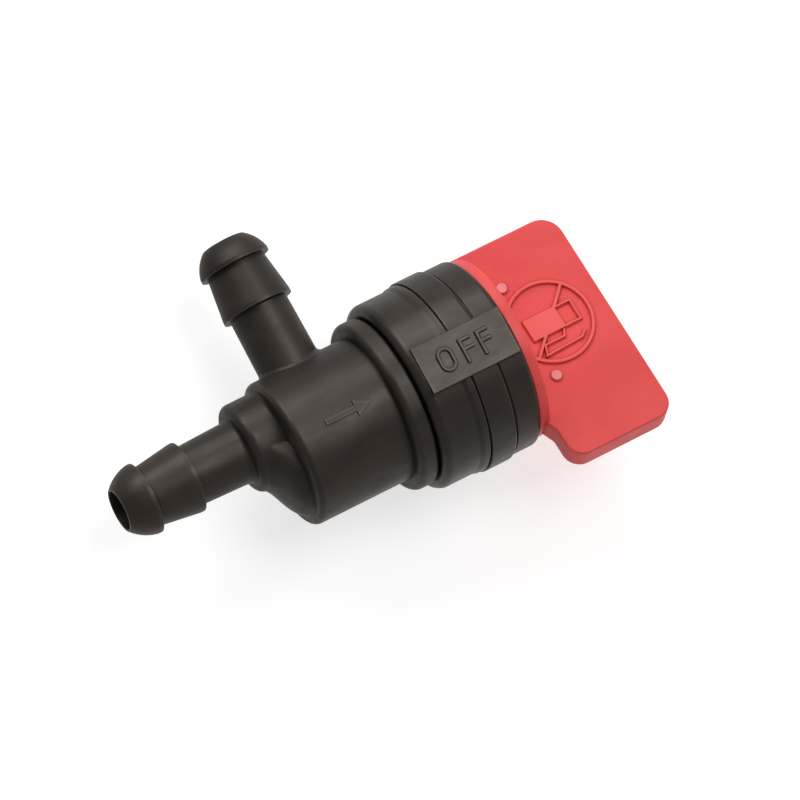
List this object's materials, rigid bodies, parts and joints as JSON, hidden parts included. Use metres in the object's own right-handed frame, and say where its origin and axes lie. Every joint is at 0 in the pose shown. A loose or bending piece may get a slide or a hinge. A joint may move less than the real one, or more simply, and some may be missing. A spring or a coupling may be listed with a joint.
{
  "type": "in-line fuel shut-off valve",
  "caption": "Small plastic in-line fuel shut-off valve: barbed inlet, side outlet barb at a right angle, stepped collar with a flat OFF panel, and a red quarter-turn lever.",
  "frame": {"origin": "on the axis of the inlet barb, at the middle of the land of its first sealing ring", "axes": "+X from the inlet barb to the lever, along the inlet bore and the lever axis; +Y the way the outlet barb points; +Z out of the flat OFF panel"},
  "size_m": [0.0555, 0.037, 0.0213],
  "materials": {
    "black_nylon": "satin moulded nylon, near black",
    "black_nylon_collar": "satin moulded nylon, near black",
    "red_acetal": "satin moulded acetal, bright red",
    "natural_acetal": "natural moulded acetal",
    "seal_rubber": "black fuel-resistant rubber",
    "washer_steel": "plain stainless",
    "spring_steel": "drawn stainless wire"
  },
  "bodies": {
    "housing": {"valve_body": "black_nylon", "retaining_collar": "black_nylon_collar", "port_seal": "seal_rubber", "thrust_washer": "washer_steel", "thrust_spring": "spring_steel"},
    "lever": {"lever_knob": "red_acetal", "valve_rotor": "natural_acetal", "lower_stem_seal": "seal_rubber", "upper_stem_seal": "seal_rubber"}
  },
  "joints": [
    {"name": "lever_turn", "type": "hinge", "parent": "housing", "child": "lever", "pos_m": [0.0464, -0.0023, 0], "axis": [1, 0, 0], "range_deg": [-78.5, 11.5]}
  ]
}
